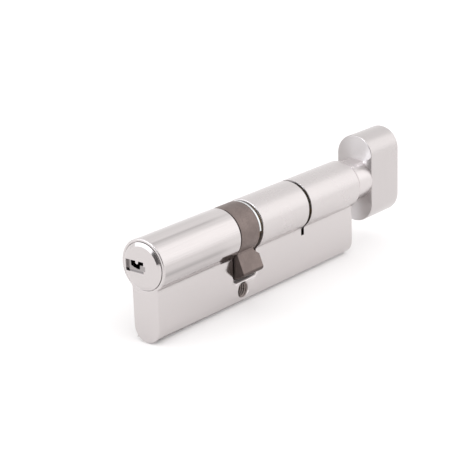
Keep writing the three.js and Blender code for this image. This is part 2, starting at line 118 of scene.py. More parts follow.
WARD = (1.85, 1.1, 0.55)  # y, z, radius

PIN_R, PIN_TIP_R, PIN_TIP_HOLE_R, PIN_HOLE_SHOULDER = 1.45, 1.0, 1.1, -3.0
KEY_PIN_FOOT, KEY_PIN_SHOULDER = -5.75, -4.3
KEY_PIN_TIPS = (-1.0, -1.5, -1.2, -1.7, -1.1, -1.4)
DRIVER_TOP, DRIVER_LENGTH, DRIVER_TRAVEL = -6.65, 6.4, 1.8
CHAMBER_SPRING_Z, CHAMBER_PLUG_Z = (-20.5, -13.25), (-24.0, -20.75)
PIN_SPRING, COUPLING_SPRING = (1.35, 0.4, 5), (2.0, 0.5, 7)  # outer radius, wire, turns
BODY_DRILL_Z, DRILL_PIN_R = (-23.0, -9.0), 1.0
PLUG_DRILL_X, PLUG_DRILL_Y, PLUG_DRILL_TOP, PLUG_DRILL_FOOTS = -36.9, 3.2, 4.8, (2.4, -4.6)

PLUG_CLIP = (-4.2, -3.45, 5.1, 7.6, 60)  # low x, high x, inner radius, outer radius, opening in degrees
GAP_CLIP = (5.15, 5.95, 5.1, 8.2, 176)
SLIT_CLIP = (30.95, 31.75, 5.7, 7.85, 174)

CAM_LOW_X, CAM_HIGH_X, CAM_R, CAM_BORE_R = -3.9, 4.95, 8.35, 5.75
TOOTH_LOW_X, TOOTH_HIGH_X, TOOTH_ROOT_X = -4.05, 6.0, 4.1
TOOTH_TIP_R, TOOTH_HALF_THICK = 15.3, 3.6
TOOTH_ROOT_R, TOOTH_SHOULDER_R, TOOTH_CORNER = 9.0, 10.6, 0.8
TOOTH_ROUNDING, TOOTH_FILLET, TOOTH_FOOT_R = 1.0, 0.9, 6.5  # the foot lies inside the ring
TOOTH_ANGLE = math.radians(-112)
CAM_WALL_X, CAM_CLIP_RECESS_R, CAM_CLIP_RECESS_X = (-1.5, 2.2), 7.8, -3.1

TONGUE_HALF_Y, TONGUE_HALF_Z = 4.5, 1.3
KEY_TONGUE_X, TURN_TONGUE_X = (-7.9, -1.95), (-1.55, 5.0)
KEY_NOSE = ((-10.3, -6.9), (0.1, 4.1), (-1.3, 0.1))  # x, y and z ranges
TURN_STEM_R, TURN_STEM_END = 1.2, 8.6
COUPLING_SPRING_X, CLUTCH_TRAVEL = (5.35, 16.7), 3.9

ROTOR_FRONT_X, ROTOR_SHOULDER_X, ROTOR_SLOT_X = 2.5, 7.2, 9.3
ROTOR_SPRING_HOLE_R, ROTOR_SPRING_HOLE_END, SLIT_GROOVE_R = 2.3, 17.0, 5.6
SPINDLE_HALF, SPINDLE_HOLE_HALF, SPINDLE_END = 3.5, 3.6, 80.0

NECK_R, NECK_LOW_X = 7.2, TURN_END + 0.3
KNOB_LOW_X, KNOB_HIGH_X = 69.0, 85.35
KNOB_HALF_WIDTH, KNOB_HALF_HEIGHT = 7.25, 15.45
NECK_SEAM = 1.1  # groove round the neck, from its end
GRUB_X, GRUB_R, GRUB_HOLE_R, GRUB_Z = 64.7, 1.5, 1.6, (-6.7, -3.65)
GRUB_SOCKET_R, GRUB_SOCKET_DEPTH = 0.85, 1.3

FAR = 30.0  # how far a cutting tool runs past the piece it cuts
ROUND = 160  # segments round the barrel and what turns in it
SMALL = 48


# ---- mesh building -------------------------------------------------------------------------------
def mesh_object(name, verts, faces):
    mesh = bpy.data.meshes.new(name)
    mesh.from_pydata(verts, [], faces)
    bm = bmesh.new()
    bm.from_mesh(mesh)
    bmesh.ops.remove_doubles(bm, verts=bm.verts, dist=1e-5)
    bmesh.ops.recalc_face_normals(bm, faces=bm.faces)
    bm.to_mesh(mesh)
    bm.free()
    obj = bpy.data.objects.new(name, mesh)
    bpy.context.scene.collection.objects.link(obj)
    return obj


def arc(centre, radius, start, end, segments):
    """Points on an arc about a centre, from start to end in degrees, both ends included."""
    points = []
    for i in range(segments + 1):
        t = math.radians(start + (end - start) * i / segments)
        points.append((centre[0] + radius * math.cos(t), centre[1] + radius * math.sin(t)))
    return points


def prism(outline, low, high, axis="X"):
    """An outline of (y, z), or of (x, z) when axis is Y, extruded from low to high along the axis."""

    def lift(point, depth):
        a, b = point
        return (depth, a, b) if axis == "X" else (a, depth, b)

    count = len(outline)
    verts = [lift(p, low) for p in outline] + [lift(p, high) for p in outline]
    faces = [tuple(range(count)), tuple(range(count, 2 * count))]
    for i in range(count):
        j = (i + 1) % count
        faces.append((i, j, count + j, count + i))
    return mesh_object("prism", verts, faces)


def block(x, y, z):
    corners = [(y[0], z[0]), (y[1], z[0]), (y[1], z[1]), (y[0], z[1])]
    return prism(corners, x[0], x[1])


def lathe(profile, segments=ROUND, axis="X", at=(0.0, 0.0)):
    """A solid turned about an axis. The profile is [(place along the axis, radius), ...]."""
    verts, rings = [], []
    for along, radius in profile:
        if radius < 1e-6:
            rings.append([len(verts)])
            verts.append((along, 0.0, 0.0))
            continue
        rings.append(list(range(len(verts), len(verts) + segments)))
        for i in range(segments):
            t = 2 * math.pi * i / segments
            verts.append((along, radius * math.cos(t), radius * math.sin(t)))
    faces = []
    for a, b in zip(rings, rings[1:]):
        for i in range(segments):
            j = (i + 1) % segments
            quad = [a[i % len(a)], a[j % len(a)], b[j % len(b)], b[i % len(b)]]
            face = list(dict.fromkeys(quad))
            if len(face) > 2:
                faces.append(face)
    if len(rings[0]) > 1:
        faces.append(rings[0])
    if len(rings[-1]) > 1:
        faces.append(rings[-1])
    if axis == "Z":
        verts = [(at[0] - z, at[1] + y, x) for x, y, z in verts]
    return mesh_object("lathe", verts, faces)


def bar(radius, low, high, axis="X", at=(0.0, 0.0), segments=SMALL):
    return lathe([(low, radius), (high, radius)], segments, axis, at)


def apply_modifiers(obj):
    graph = bpy.context.evaluated_depsgraph_get()
    made = bpy.data.meshes.new_from_object(obj.evaluated_get(graph))
    obj.modifiers.clear()
    old = obj.data
    obj.data = made
    bpy.data.meshes.remove(old)


def boolean(obj, tool, operation):
    step = obj.modifiers.new(operation, "BOOLEAN")
    step.operation = operation
    step.solver = "MANIFOLD"
    step.object = tool
    apply_modifiers(obj)
    bpy.data.objects.remove(tool)
    return obj


def cut(obj, *tools):
    for tool in tools:
        boolean(obj, tool, "DIFFERENCE")
    return obj


def join(obj, *tools):
    for tool in tools:
        boolean(obj, tool, "UNION")
    return obj


def common(obj, tool):
    return boolean(obj, tool, "INTERSECT")


def clean(obj):
    """Merges flat neighbours and stray points that the cuts leave."""
    bm = bmesh.new()
    bm.from_mesh(obj.data)
    bmesh.ops.remove_doubles(bm, verts=bm.verts, dist=2e-4)
    bmesh.ops.dissolve_limit(bm, angle_limit=math.radians(0.4), verts=bm.verts, edges=bm.edges)
    bm.to_mesh(obj.data)
    bm.free()


def bevel(obj, width, rule=lambda middle: 1.0, segments=3, least_angle=28):
    """Rounds the sharp edges. rule(middle of the edge) gives each one's share of width."""
    clean(obj)
    bm = bmesh.new()
    bm.from_mesh(obj.data)
    weight = bm.edges.layers.float.new("bevel_weight_edge")
    for edge in bm.edges:
        if len(edge.link_faces) != 2:
            continue
        if math.degrees(edge.calc_face_angle(0.0)) > least_angle:
            edge[weight] = rule((edge.verts[0].co + edge.verts[1].co) / 2)
    bm.to_mesh(obj.data)
    bm.free()
    step = obj.modifiers.new("edges", "BEVEL")
    step.limit_method = "WEIGHT"
    step.width = width
    step.segments = segments
    step.miter_outer = "MITER_ARC"
    step.use_clamp_overlap = False
    apply_modifiers(obj)
    return obj


def shade(obj, sharp_angle=34):
    step = obj.modifiers.new("triangles", "TRIANGULATE")
    step.min_vertices = 5
    apply_modifiers(obj)
    mesh = obj.data
    mesh.polygons.foreach_set("use_smooth", [True] * len(mesh.polygons))
    mesh.set_sharp_from_angle(angle=math.radians(sharp_angle))
    step = obj.modifiers.new("normals", "WEIGHTED_NORMAL")
    step.keep_sharp = True
    step.weight = 70
    apply_modifiers(obj)


def place(obj, name, body, material, nodes):
    """Moves a finished shape into the CAD's frame and makes it stand for its CAD nodes."""
    shade(obj)
    obj.data.transform(Matrix.Scale(MM, 4) @ Matrix.Translation((0, 0, AXIS_Z)))
    obj.data.materials.clear()
    obj.data.materials.append(material)
    obj.name = name
    obj.data.name = name
    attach(obj, body)
    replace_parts(obj, *nodes)
    return obj


# ---- materials -----------------------------------------------------------------------------------
class Nodes:
    """A material's node tree, with a short way to add and link nodes."""

    def __init__(self, name):
        self.material = bpy.data.materials.new(name)
        self.material.use_nodes = True
        self.tree = self.material.node_tree
        self.tree.nodes.clear()
        self.shader = self.add("ShaderNodeBsdfPrincipled")
        output = self.add("ShaderNodeOutputMaterial")
        self.link(self.shader.outputs[0], output.inputs[0])
        self.shader.inputs["Metallic"].default_value = 1.0
        self.place = self.add("ShaderNodeTexCoord").outputs["Object"]

    def add(self, kind, **settings):
        node = self.tree.nodes.new(kind)
        for key, value in settings.items():
            setattr(node, key, value)
        return node

    def link(self, source, target):
        self.tree.links.new(source, target)

    def feed(self, socket, value):
        if isinstance(value, bpy.types.NodeSocket):
            self.link(value, socket)
        else:
            socket.default_value = value

    def math(self, operation, a, b=0.0, clamp=False):
        node = self.add("ShaderNodeMath", operation=operation, use_clamp=clamp)
        self.feed(node.inputs[0], a)
        self.feed(node.inputs[1], b)
        return node.outputs[0]

    def mix(self, share, a, b):
        """Blends two colours, or two grey values given as numbers."""
        node = self.add("ShaderNodeMix", data_type="RGBA")
        self.feed(node.inputs[0], share)
        for socket, value in ((node.inputs[6], a), (node.inputs[7], b)):
            if isinstance(value, float):
                value = (value, value, value, 1.0)
            if isinstance(value, tuple) and len(value) == 3:
                value = (*value, 1.0)
            self.feed(socket, value)
        return node.outputs[2]

    def scaled(self, scale, at=None):
        node = self.add("ShaderNodeMapping")
        self.link(at or self.place, node.inputs["Vector"])
        node.inputs["Scale"].default_value = scale
        return node.outputs[0]

    def noise(self, scale, at, detail=3.0, roughness=0.55):
        node = self.add("ShaderNodeTexNoise")
        self.link(at, node.inputs["Vector"])
        node.inputs["Scale"].default_value = scale
        node.inputs["Detail"].default_value = detail
        node.inputs["Roughness"].default_value = roughness
        return node.outputs["Fac"]

    def ramp(self, value, stops):
        """A grey ramp through (position, grey) stops."""
        node = self.add("ShaderNodeValToRGB")
        self.feed(node.inputs[0], value)
        fill_ramp(node, stops)
        return node.outputs[0]

    def step(self, value, low, high):
        """0 below low, 1 above high, smooth between."""
        node = self.add("ShaderNodeMapRange", interpolation_type="SMOOTHSTEP")
        self.feed(node.inputs["Value"], value)
        node.inputs["From Min"].default_value = low
        node.inputs["From Max"].default_value = high
        return node.outputs["Result"]

    def bump(self, height, strength, distance):
        node = self.add("ShaderNodeBump")
        node.inputs["Strength"].default_value = strength
        node.inputs["Distance"].default_value = distance * MM
        self.link(height, node.inputs["Height"])
        self.link(node.outputs[0], self.shader.inputs["Normal"])

    def set(self, name, value):
        self.feed(self.shader.inputs[name], value)


def scale_colour(colour, factor):
    return tuple(c * factor for c in colour)


def fill_ramp(node, stops, tint=(1.0, 1.0, 1.0)):
    """Gives a colour ramp its (position, grey) stops, each grey tinted."""
    elements = node.color_ramp.elements
    while len(elements) < len(stops):
        elements.new(0.5)
    for element, (position, grey) in zip(elements, stops):
        element.position = position
        element.color = (*scale_colour(tint, grey), 1.0)


NICKEL = (0.640, 0.606, 0.602)
PAINTED_REFLECTION_STREAKS = (  # angle round the plug axis in degrees, and how much of the base colour the painted reflection keeps
    (90, 0.9),
    (98, 0.93),
    (104, 0.98),
    (112, 1),
    (117.2, 0.72),
    (118.8, 0.84),
    (121, 0.86),
    (123, 0.95),
    (131, 1),
    (168, 0.98),
    (172, 0.87),
    (177, 0.89),
    (182, 0.87),
    (187, 0.72),
    (191, 0.66),
    (194, 0.8),
    (199, 0.91),
    (206, 0.88),
    (213, 0.88),
    (219, 0.92),
    (226, 0.85),
    (233, 0.8),
    (240, 0.84),
)
PAINTED_STREAKS_FADE_X, PAINTED_STREAKS_LEFT = (-17.0, -7.0), 0.35  # where the painted reflection streaks fade near the gap, and what is left of them
THREAD_SHADE_COLOUR = (0.20, 0.17, 0.16)  # painted shade: the walls of the tapped hole are darkened in the base colour
BARREL_ROUGH, WEB_ROUGH, POLISHED_ROUGH, MILLED_ROUGH = 0.24, 0.12, 0.085, 0.6


def axis_parts(n):
    """X along the plug axis, and Y and Z from the axis, in metres."""
    split = n.add("ShaderNodeSeparateXYZ")
    n.link(n.place, split.inputs[0])
    z = n.math("SUBTRACT", split.outputs[2], AXIS_Z * MM)
    return split.outputs[0], split.outputs[1], z


def distance_from(n, a, b):
    """The distance across two legs a and b at right angles."""
    squares = n.math("ADD", n.math("MULTIPLY", a, a), n.math("MULTIPLY", b, b))
    return n.math("SQRT", squares)


def housing_material():
    """Nickel plate: polished on the key half's barrel, with painted reflection streaks; the rest is satin.
    """
    n = Nodes("housing_nickel")
    x, y, z = axis_parts(n)
    turn = n.math("ARCTAN2", z, y)
    angle = n.math("FLOORED_MODULO", n.math("DIVIDE", turn, 2 * math.pi), 1.0)
    painted_streaks = n.ramp(angle, [(degrees / 360, grey) for degrees, grey in PAINTED_REFLECTION_STREAKS])
    key_half = n.step(x, (GAP_LOW_X + 0.4) * MM, (GAP_LOW_X - 0.4) * MM)
    radius = distance_from(n, y, z)
    barrel = n.step(radius, (BARREL_R + 0.25) * MM, (BARREL_R + 0.05) * MM)
    round_side = n.step(x, (KEY_END + 0.35) * MM, (KEY_END + 0.6) * MM)
    polish = n.math("MULTIPLY", n.math("MULTIPLY", key_half, barrel), round_side)

    around = n.add("ShaderNodeCombineXYZ")
    n.link(n.math("MULTIPLY", x, 6.0), around.inputs[0])
    n.link(n.math("MULTIPLY", turn, 6.0), around.inputs[1])
    drawn = n.noise(7.0, around.outputs[0], detail=4.0)
    grain = n.noise(5200.0, n.scaled((0.16, 1.0, 1.0)), detail=2.0)
    cloud = n.noise(90.0, n.place, detail=2.0)

    base = n.mix(n.step(drawn, 0.35, 0.65), scale_colour(NICKEL, 0.975), scale_colour(NICKEL, 1.02))
    # painted reflection: dark streaks of the studio, multiplied into the polished barrel's base colour by
    # angle
    painted_streaks_on_base = n.add("ShaderNodeMix", data_type="RGBA", blend_type="MULTIPLY")
    fade_low, fade_high = PAINTED_STREAKS_FADE_X
    kept = n.mix(n.step(x, fade_low * MM, fade_high * MM), 1.0, PAINTED_STREAKS_LEFT)
    n.link(n.math("MULTIPLY", polish, kept), painted_streaks_on_base.inputs[0])
    n.link(base, painted_streaks_on_base.inputs[6])
    n.link(painted_streaks, painted_streaks_on_base.inputs[7])
    satin = n.mix(n.step(grain, 0.3, 0.7), scale_colour(NICKEL, 0.945), scale_colour(NICKEL, 0.975))
    from_screw = distance_from(n, x, n.math("ADD", z, AXIS_Z * MM))
    # painted shade: darkens the walls of the tapped fixing hole
    thread = n.step(from_screw, (THREAD_MAJOR_R + 0.15) * MM, (THREAD_MAJOR_R - 0.1) * MM)
    plated = n.mix(polish, satin, painted_streaks_on_base.outputs[2])
    n.set("Base Color", n.mix(thread, plated, THREAD_SHADE_COLOUR))
    web = n.step(radius, (BARREL_R + 0.2) * MM, (BARREL_R + 0.8) * MM)
    satin_rough = n.math("ADD", n.mix(web, BARREL_ROUGH, WEB_ROUGH), n.math("MULTIPLY", cloud, 0.06))
    rough = n.mix(polish, satin_rough, n.math("ADD", POLISHED_ROUGH, n.math("MULTIPLY", drawn, 0.05)))
    past_low = n.step(x, (GAP_LOW_X - 0.1) * MM, (GAP_LOW_X + 0.1) * MM)
    before_high = n.step(x, (GAP_HIGH_X + 0.1) * MM, (GAP_HIGH_X - 0.1) * MM)
    above_floor = n.step(z, (GAP_FLOOR - 0.6) * MM, (GAP_FLOOR - 0.3) * MM)
    milled = n.math("MULTIPLY", n.math("MULTIPLY", past_low, before_high), above_floor)
    n.set("Roughness", n.mix(milled, rough, MILLED_ROUGH))
    height = n.mix(polish, grain, drawn)
    n.bump(height, 0.10, 0.02)
    return n.material


def brushed_material(name, colour, roughness, stretch, anisotropy=0.0, radial=False, spread=0.03):
    """Brushed metal whose scratches run along the axis that stretch keeps small."""
    n = Nodes(name)
    fine = n.noise(4200.0, n.scaled(stretch), detail=3.0, roughness=0.6)
    broad = n.noise(70.0, n.place, detail=2.0)
    dim, bright = scale_colour(colour, 1 - spread), scale_colour(colour, 1 + spread)
    n.set("Base Color", n.mix(n.step(fine, 0.3, 0.7), dim, bright))
    n.set("Roughness", n.math("ADD", roughness - 0.03, n.math("MULTIPLY", broad, 0.06)))
    n.set("Anisotropic", anisotropy)
    if radial:
        tangent = n.add("ShaderNodeTangent", direction_type="RADIAL", axis="X")
        n.link(tangent.outputs[0], n.shader.inputs["Tangent"])
        n.set("Anisotropic Rotation", 0.25)
    n.bump(fine, 0.12, 0.015)
    return n.material


def sintered_material(name, colour, roughness):
    """Dull sintered or phosphated steel, with a fine grain, faint blotches and painted shade on the cam
    tooth.
    """
    n = Nodes(name)
    grain = n.noise(2600.0, n.place, detail=4.0, roughness=0.7)
    blotch = n.noise(260.0, n.place, detail=3.0)
    tone = n.mix(n.step(blotch, 0.3, 0.7), scale_colour(colour, 0.90), scale_colour(colour, 1.10))
    pitted = n.mix(n.step(grain, 0.25, 0.6), scale_colour(colour, 0.75), tone)
    x, y, z = axis_parts(n)
    radius = distance_from(n, y, z)
    # painted shade: the tooth's tip rounding and its key-side face are darkened in the base colour
    tip = n.step(radius, (TOOTH_TIP_R - TOOTH_ROUNDING) * MM, (TOOTH_TIP_R - 0.6 * TOOTH_ROUNDING) * MM)
    key_face_shade_mask = n.step(x, (TOOTH_LOW_X + 0.25) * MM, (TOOTH_LOW_X + 0.1) * MM)
    tip_and_face_shade = n.math("MAXIMUM", n.math("MULTIPLY", tip, 0.9), key_face_shade_mask)
    n.set("Base Color", n.mix(tip_and_face_shade, pitted, scale_colour(colour, 0.48)))
    n.set("Roughness", n.math("ADD", roughness - 0.05, n.math("MULTIPLY", grain, 0.12)))
    n.bump(grain, 0.25, 0.02)
    return n.material


def turned_material(name, colour, roughness, shade_past_x=None):
    """Turned metal with fine rings round the plug axis, with painted shade darkening the inside past a given
    x, if one is given.
    """
    n = Nodes(name)
    x, y, z = axis_parts(n)
    radius = distance_from(n, y, z)
    rings = n.add("ShaderNodeCombineXYZ")
    n.link(x, rings.inputs[0])
    n.link(radius, rings.inputs[1])
    ring = n.noise(3500.0, rings.outputs[0], detail=3.0)
    tone = n.mix(n.step(ring, 0.3, 0.7), scale_colour(colour, 0.96), scale_colour(colour, 1.04))
    if shade_past_x:
        below = n.step(x, (shade_past_x - 0.3) * MM, (shade_past_x + 0.3) * MM)
        inside = n.step(radius, (HEAD_R - 0.6) * MM, (HEAD_R - 0.8) * MM)
        tone = n.mix(n.math("MULTIPLY", below, inside), tone, scale_colour(colour, 0.58))
    n.set("Base Color", tone)
    n.set("Roughness", n.math("ADD", roughness - 0.03, n.math("MULTIPLY", ring, 0.06)))
    n.bump(ring, 0.12, 0.02)
    return n.material


STEEL = (0.60, 0.60, 0.61)
BRASS = (0.80, 0.62, 0.30)
housing_nickel = housing_material()
# painted shade: the key plug is darkened inside, just behind its face, where the keyway lies
plug_nickel = turned_material("plug_nickel", scale_colour(NICKEL, 0.965), 0.13, HEAD_FRONT_X + 0.4)
knob_side = brushed_material("knob_nickel", scale_colour(NICKEL, 0.885), 0.27, (1.0, 1.0, 0.05))
knob_face = brushed_material("knob_face", scale_colour(NICKEL, 0.92), 0.42, (1.0, 1.0, 1.0), 1.0, True)
# painted light: the neck takes a lit copy of the knob's nickel, brighter than the rest of the knob
knob_neck_brightened = brushed_material("knob_neck_brightened", scale_colour(NICKEL, 1.08), 0.30, (1.0, 1.0, 1.0), 0.85, True)
cam_steel = sintered_material("cam_steel", (0.225, 0.183, 0.170), 0.46)
clip_steel = turned_material("clip_steel", (0.72, 0.73, 0.74), 0.14)
spring_steel = brushed_material("spring_steel", STEEL, 0.25, (1.0, 1.0, 1.0))
hard_steel = turned_material("hard_steel", scale_colour(STEEL, 0.9), 0.28)
brass = turned_material("turned_brass", BRASS, 0.25)


# ---- housing -------------------------------------------------------------------------------------
def profile_outline():
    """The euro profile: a round barrel on a web with a rounded foot."""
    join_angle = math.degrees(math.acos(WEB_HALF / BARREL_R))
    barrel = arc((0, 0), BARREL_R, -join_angle, 180 + join_angle, ROUND)
    foot = arc((0, FOOT_Z + WEB_HALF), WEB_HALF, 180, 360, 56)
    return barrel + foot


def thread_tool():
    """The space inside the threaded fixing hole, with its countersunk rims."""
    segments, rings_per_turn = 48, 10
    reach = WEB_HALF + 0.6
    rings = round(2 * reach / THREAD_PITCH * rings_per_turn)
    verts = []
    for ring in range(rings + 1):
        y = -reach + 2 * reach * ring / rings
        rim = SCREW_RIM_R - (WEB_HALF - abs(y)) * (SCREW_RIM_R - THREAD_MINOR_R) / (SCREW_RIM_DEPTH + 0.35)
        for i in range(segments):
            phase = (y / THREAD_PITCH - i / segments) % 1.0
            ridge = min(1.0, max(0.0, abs(2 * phase - 1) * 1.3 - 0.15))
            thread = THREAD_MINOR_R + (THREAD_MAJOR_R - THREAD_MINOR_R) * ridge
            radius = max(thread, min(rim, SCREW_RIM_R))
            t = 2 * math.pi * i / segments
            verts.append((radius * math.cos(t), y, SCREW_Z + radius * math.sin(t)))
    faces = [tuple(range(segments)), tuple(range(rings * segments, (rings + 1) * segments))]
    for ring in range(rings):
        for i in range(segments):
            j = (i + 1) % segments
            a, b = ring * segments, (ring + 1) * segments
            faces.append((a + i, a + j, b + j, b + i))
    return mesh_object("thread", verts, faces)


def gap_tool():
    inner = GAP_CORNER
    outline = [(GAP_LOW_X, BARREL_R + 1)]
    outline += arc((GAP_LOW_X + inner, GAP_FLOOR + inner), inner, 180, 270, 8)
    outline += arc((GAP_HIGH_X - inner, GAP_FLOOR + inner), inner, 270, 360, 8)
    outline += [(GAP_HIGH_X, BARREL_R + 1)]
    return prism(outline, -FAR, FAR, axis="Y")


def build_housing():
    body = prism(profile_outline(), KEY_END, TURN_END)
    tools = [
        bar(BORE_R, KEY_END - 1, TURN_END + 1, segments=ROUND),
        bar(HEAD_BORE_R, KEY_END - 1, HEAD_SEAT_X, segments=ROUND),
        gap_tool(),
        block((SLIT_LOW_X, SLIT_HIGH_X), (-FAR, FAR), (SLIT_FLOOR, FAR)),
        thread_tool(),
    ]
    for i in range(PIN_COUNT):
        x = PIN_FIRST_X + PIN_PITCH * i
        tools.append(bar(CHAMBER_R, FOOT_Z - 1, -BORE_R + 1, "Z", (x, PIN_Y)))
    for side in (1, -1):
        tools.append(bar(DRILL_HOLE_R, FOOT_Z - 1, DRILL_TOP, "Z", (DRILL_X, side * DRILL_Y)))
    cut(body, *tools)

    def rule(middle):
        in_screw_hole = math.hypot(middle.x, middle.z - SCREW_Z) < SCREW_RIM_R + 0.2
        radius = math.hypot(middle.y, middle.z)
        if in_screw_hole or radius < BORE_R - 0.1 or abs(middle.x - HEAD_SEAT_X) < 0.1:
            return 0.0
        if abs(middle.y - PIN_Y) < CHAMBER_R + 0.1 and middle.x < -10 and abs(middle.x - KEY_END) > 0.1:
            return 0.0
        if abs(middle.x - KEY_END) < 0.05 or abs(middle.x - TURN_END) < 0.05:
            return END_SHARE if radius > HEAD_BORE_R + 0.1 or middle.z < -BARREL_R else FINE_SHARE
        if SLIT_LOW_X - 0.05 < middle.x < SLIT_HIGH_X + 0.05:
            return FINE_SHARE
        if middle.z < GAP_FLOOR + 0.3:
            return GAP_FLOOR_SHARE
        return WEB_GAP_SHARE if radius > BARREL_R + 0.1 else BARREL_GAP_SHARE

    bevel(body, HOUSING_EDGE, rule)
    place(body, "housing_shell", "housing", housing_nickel, ["housing"])


# ---- key side ------------------------------------------------------------------------------------
def keyway_tool():
    """The space for a flat dimple key: a recess, a narrow throat, the long slot and a groove at one side."""
    low_y, high_y, low_z, high_z = KEYWAY
    rib_y, rib_low_z, rib_high_z = KEYWAY_RIB
    ward_y, ward_z, ward_r = WARD
    front, throat_end = HEAD_FRONT_X - 1, HEAD_FRONT_X + KEYWAY_THROAT_DEPTH
    space = block((front, HEAD_FRONT_X + KEYWAY_MOUTH_DEPTH), *KEYWAY_MOUTH)
    join(
        space,
        prism(KEYWAY_THROAT, front, throat_end + 0.1),
        block((front, KEYWAY_END_X), (rib_y, low_y + 0.1), (rib_low_z, rib_high_z)),
        block((throat_end, KEYWAY_END_X), (low_y, high_y), (low_z, high_z)),
    )
    ward = arc((ward_y, ward_z), ward_r, 0, -180, 16) + [(ward_y - ward_r, 4), (ward_y + ward_r, 4)]
    return cut(space, prism(ward, front - 1, KEYWAY_END_X + 1))


def tongue_slot(low, high):
    y, z = TONGUE_HALF_Y + 0.1, TONGUE_HALF_Z + 0.1
    return block((low, high), (-y, y), (-z, z))


def build_key_plug():
    face_r = HEAD_R - HEAD_BEVEL
    profile = [
        (HEAD_FRONT_X, 0),
        (HEAD_FRONT_X, face_r - 0.08),
        (HEAD_FRONT_X + 0.02, face_r + 0.02),
        (HEAD_FRONT_X + HEAD_BEVEL_DEPTH - 0.04, HEAD_R - 0.06),
        (HEAD_FRONT_X + HEAD_BEVEL_DEPTH + 0.05, HEAD_R),
        (HEAD_BACK_X, HEAD_R),
        (HEAD_BACK_X, PLUG_R),
        (PLUG_BACK_X, PLUG_R),
        (PLUG_BACK_X, BOSS_R),
        (PLUG_CLIP[0] - 0.05, BOSS_R),
        (PLUG_CLIP[0] - 0.05, GROOVE_R),
        (PLUG_CLIP[1] + 0.05, GROOVE_R),
        (PLUG_CLIP[1] + 0.05, BOSS_R),
        (PLUG_BOSS_END, BOSS_R),
        (PLUG_BOSS_END, 0),
    ]
    plug = lathe(profile)
    tools = [keyway_tool(), tongue_slot(PLUG_SLOT_X, PLUG_BOSS_END + 1)]
    for side, foot in zip((1, -1), PLUG_DRILL_FOOTS):
        at = (PLUG_DRILL_X, side * PLUG_DRILL_Y)
        tools.append(bar(DRILL_HOLE_R, foot - 0.1, PLUG_R + 1, "Z", at))
    for i in range(PIN_COUNT):
        at = (PIN_FIRST_X + PIN_PITCH * i, PIN_Y)
        tools.append(bar(PIN_R + 0.05, -PLUG_R - 1, PIN_HOLE_SHOULDER, "Z", at))
        tools.append(bar(PIN_TIP_HOLE_R, -PLUG_R, KEYWAY[2] + 0.1, "Z", at))
    cut(plug, *tools)
    place(plug, "key_plug_body", "key_plug", plug_nickel, ["key_plug"])


def upright_piece(name, profile, at, body, material):
    """Turns a profile about a vertical axis, and puts it in place of the CAD node of that name."""
    place(lathe(profile, SMALL, "Z", at), name + "_fine", body, material, [name])


def build_pins():
    for i in range(PIN_COUNT):
        number, x = i + 1, PIN_FIRST_X + PIN_PITCH * i
        at, tip = (x, PIN_Y), KEY_PIN_TIPS[i]
        key_pin = [
            (KEY_PIN_FOOT, 0),
            (KEY_PIN_FOOT, PIN_R - 0.25),
            (KEY_PIN_FOOT + 0.07, PIN_R - 0.08),
            (KEY_PIN_FOOT + 0.25, PIN_R),
            (KEY_PIN_SHOULDER - 0.3, PIN_R),
            (KEY_PIN_SHOULDER, PIN_TIP_R),
            (tip - 0.7, PIN_TIP_R),
            (tip - 0.05, 0.35),
            (tip, 0.2),
            (tip, 0),
        ]
        driver_foot = DRIVER_TOP - DRIVER_LENGTH
        driver = [
            (driver_foot, 0),
            (driver_foot, PIN_R - 0.3),
            (driver_foot + 0.3, PIN_R),
            (DRIVER_TOP - 0.2, PIN_R),
            (DRIVER_TOP, PIN_R - 0.2),
            (DRIVER_TOP, 0),
        ]
        low, high = CHAMBER_PLUG_Z
        wide = PIN_R + 0.04
        stopper = [
            (low, 0),
            (low, wide - 0.24),
            (low + 0.2, wide),
            (high - 0.2, wide),
            (high, wide - 0.24),
            (high, 0),
        ]
        key_name, driver_name = f"key_pin_{number}", f"driver_pin_{number}"
        upright_piece(key_name, key_pin, at, key_name, brass)
        upright_piece(driver_name, driver, at, driver_name, hard_steel)
        upright_piece(f"chamber_plug_{number}", stopper, at, "housing", brass)
        spring_name, spring_foot = f"pin_spring_{number}", (x, PIN_Y, CHAMBER_SPRING_Z[0])
        spring = coil(*PIN_SPRING, CHAMBER_SPRING_Z, "Z", at)
        place(spring, spring_name + "_fine", "housing", spring_steel, [spring_name])
        squeeze(spring, spring_foot, DRIVER_TRAVEL)


def build_drill_pins():
    for i, side in enumerate((1, -1)):
        spots = (
            ("body_drill_pin", "housing", BODY_DRILL_Z, (DRILL_X, side * DRILL_Y)),
            (
                "plug_drill_pin",
                "key_plug",
                (PLUG_DRILL_FOOTS[i], PLUG_DRILL_TOP),
                (PLUG_DRILL_X, side * PLUG_DRILL_Y),
            ),
        )
        for name, body, (low, high), at in spots:
            foot = [(low, 0), (low, DRILL_PIN_R - 0.2), (low + 0.2, DRILL_PIN_R)]
            profile = foot + [(high, DRILL_PIN_R), (high, 0)]
            upright_piece(f"{name}_{i + 1}", profile, at, body, hard_steel)


